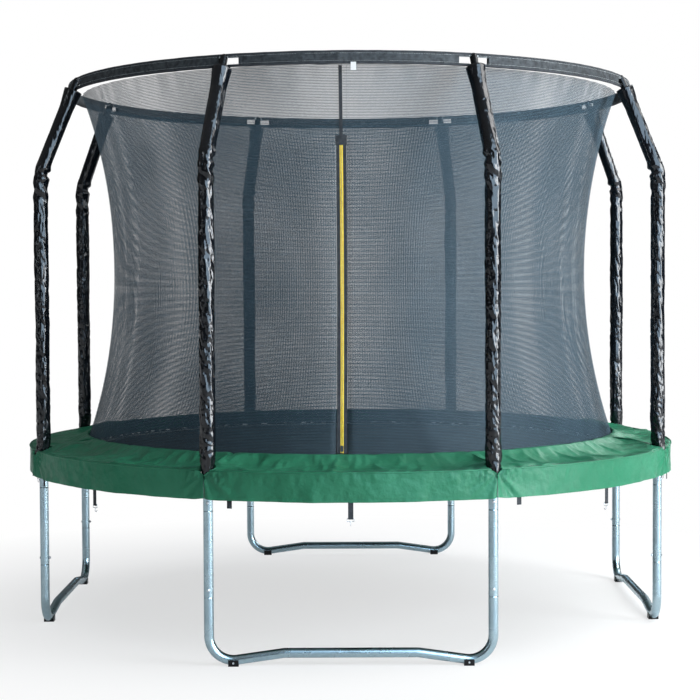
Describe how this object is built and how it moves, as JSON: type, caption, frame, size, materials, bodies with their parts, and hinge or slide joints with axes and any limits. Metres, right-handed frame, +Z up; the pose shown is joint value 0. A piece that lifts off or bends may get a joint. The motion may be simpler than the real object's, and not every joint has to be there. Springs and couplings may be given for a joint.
{
  "type": "trampoline",
  "caption": "Round garden trampoline on bent-tube legs with a green spring pad and an inward-curved safety net on padded poles with a zipped door.",
  "frame": {"origin": "on the ground, under the centre of the mat", "axes": "+Z up, -Y towards the side with the zipped door, +X to the right of someone who faces the door"},
  "size_m": [3.068, 3.068, 2.4872],
  "materials": {
    "galvanised_steel": "galvanised, satin, faintly blotched",
    "zinc_bolts": "zinc plated",
    "zinc_wire": "zinc plated wire",
    "black_plastic": "matt moulded",
    "black_pvc": "glossy, crumpled sheet",
    "foam": "closed-cell foam tube",
    "pale_rod": "smooth glass-fibre rod",
    "net": "fine knitted mesh",
    "black_webbing": "woven webbing",
    "yellow_zip": "woven tape with moulded teeth",
    "black_metal": "black enamelled",
    "mat": "tight woven, dull",
    "green_pvc": "satin coated cloth"
  },
  "bodies": {
    "frame": {"leg_base_1": "galvanised_steel", "leg_base_2": "galvanised_steel", "leg_base_3": "galvanised_steel", "leg_base_4": "galvanised_steel", "leg_extension_1": "galvanised_steel", "leg_extension_2": "galvanised_steel", "leg_extension_3": "galvanised_steel", "leg_extension_4": "galvanised_steel", "leg_extension_5": "galvanised_steel", "leg_extension_6": "galvanised_steel", "leg_extension_7": "galvanised_steel", "leg_extension_8": "galvanised_steel", "foot_caps": "black_plastic", "leg_bolts": "zinc_bolts", "top_rail_1": "galvanised_steel", "top_rail_2": "galvanised_steel", "top_rail_3": "galvanised_steel", "top_rail_4": "galvanised_steel", "top_rail_5": "galvanised_steel", "top_rail_6": "galvanised_steel", "top_rail_7": "galvanised_steel", "top_rail_8": "galvanised_steel", "t_sockets": "galvanised_steel", "lower_pole_1": "galvanised_steel", "lower_pole_2": "galvanised_steel", "lower_pole_3": "galvanised_steel", "lower_pole_4": "galvanised_steel", "lower_pole_5": "galvanised_steel", "lower_pole_6": "galvanised_steel", "lower_pole_7": "galvanised_steel", "lower_pole_8": "galvanised_steel", "upper_pole_1": "galvanised_steel", "upper_pole_2": "galvanised_steel", "upper_pole_3": "galvanised_steel", "upper_pole_4": "galvanised_steel", "upper_pole_5": "galvanised_steel", "upper_pole_6": "galvanised_steel", "upper_pole_7": "galvanised_steel", "upper_pole_8": "galvanised_steel", "pole_bolts": "zinc_bolts", "pole_caps": "black_plastic", "pole_foam": "foam", "pole_covers": "black_pvc", "ring_rods": "pale_rod", "ring_ferrules": "zinc_bolts", "enclosure_net": "net", "net_top_sleeve": "black_webbing", "zip_band": "black_webbing", "zip_coil": "yellow_zip", "zip_header": "black_webbing", "springs": "zinc_wire", "safety_pad": "green_pvc", "pad_straps": "black_webbing", "strap_hooks": "zinc_wire"},
    "mat": {"jumping_mat": "mat", "mat_webbing": "black_webbing", "v_rings": "zinc_wire"},
    "slider": {"zip_slider": "black_metal"},
    "pull_outside": {"zip_pull_outside": "black_metal"},
    "pull_inside": {"zip_pull_inside": "black_metal"}
  },
  "joints": [
    {"name": "mat_bounce", "type": "slide", "parent": "frame", "child": "mat", "axis": [0, 0, 1], "range_m": [-0.15, 0], "stiffness_N_per_m": 9000, "springref_m": 0.03, "deforming": ["springs"]},
    {"name": "zip_travel", "type": "hinge", "parent": "frame", "child": "slider", "pos_m": [-0.10027, -3.5896, 1.613], "axis": [0.9996, -0.0279, 0], "range_deg": [0, 29.1]},
    {"name": "pull_outside_swing", "type": "hinge", "parent": "slider", "child": "pull_outside", "pos_m": [-0.03495, -1.25114, 0.87011], "axis": [-0.9996, 0.0279, 0], "range_deg": [0, 160]},
    {"name": "pull_inside_swing", "type": "hinge", "parent": "slider", "child": "pull_inside", "pos_m": [-0.0346, -1.23875, 0.86617], "axis": [0.9996, -0.0279, 0], "range_deg": [-12, 140]}
  ]
}
